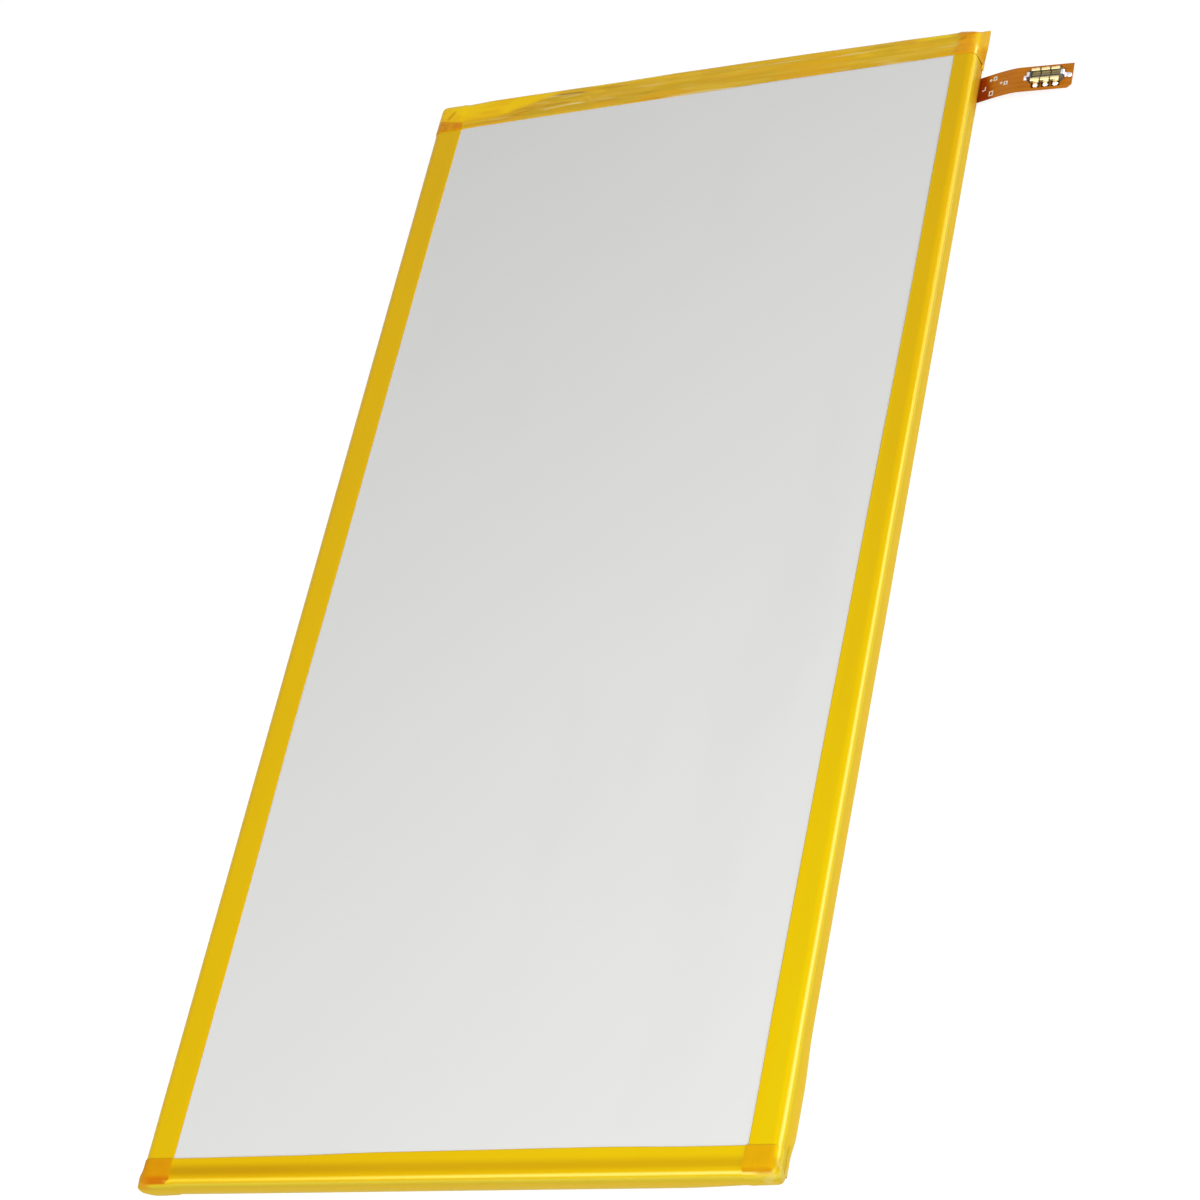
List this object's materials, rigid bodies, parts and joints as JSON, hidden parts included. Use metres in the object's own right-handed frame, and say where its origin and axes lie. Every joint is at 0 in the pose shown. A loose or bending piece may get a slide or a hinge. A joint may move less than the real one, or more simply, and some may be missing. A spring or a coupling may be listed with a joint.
{
  "type": "tablet battery pack",
  "caption": "Flat single-cell pouch battery pack edged with amber film tape, with a hidden protection board and a flex tail ending in a board-to-board plug.",
  "frame": {"origin": "centre of the pouch's flat back face", "axes": "+X towards the side that the flex tail leaves, +Y towards the terrace end with the protection board, +Z out of the pale front face"},
  "size_m": [0.0826, 0.1476, 0.0034],
  "materials": {
    "pouch_laminate": "satin nylon-faced aluminium laminate",
    "amber_film": "glossy translucent amber polyimide film",
    "solder_mask": "green solder mask on a glass-epoxy board",
    "black_epoxy": "moulded black epoxy",
    "ceramic_chip": "matt fired ceramic",
    "tab_metal": "plain rolled nickel and aluminium strip",
    "tab_film": "milky sealing film",
    "fibre_paper": "matt grey-green fibre paper",
    "flex_film": "orange-brown polyimide coverlay",
    "plug_plastic": "moulded grey-brown plastic",
    "gold_plate": "bright gold plate on a copper alloy",
    "silver_plate": "bright tin plate"
  },
  "bodies": {
    "root": {"pouch_cell": "pouch_laminate", "tape_left": "amber_film", "tape_right": "amber_film", "tape_bottom": "amber_film", "tape_top": "amber_film", "protection_board": "solder_mask", "protection_ic": "black_epoxy", "mosfet_1": "black_epoxy", "mosfet_2": "black_epoxy", "sense_resistor": "black_epoxy", "thermistor": "ceramic_chip", "capacitor_1": "ceramic_chip", "capacitor_2": "ceramic_chip", "resistor_1": "black_epoxy", "resistor_2": "black_epoxy", "cell_tab_positive": "tab_metal", "cell_tab_negative": "tab_metal", "tab_seal_positive": "tab_film", "tab_seal_negative": "tab_film", "nickel_lead_positive": "tab_metal", "nickel_lead_negative": "tab_metal", "terrace_insulator": "fibre_paper", "board_cover": "fibre_paper", "flex_lead": "flex_film", "flex_stiffener": "flex_film", "plug_housing": "plug_plastic", "contact_1": "gold_plate", "contact_2": "gold_plate", "contact_3": "gold_plate", "contact_4": "gold_plate", "contact_5": "gold_plate", "contact_6": "gold_plate", "hold_down_left": "silver_plate", "hold_down_right": "silver_plate"}
  },
  "joints": []
}
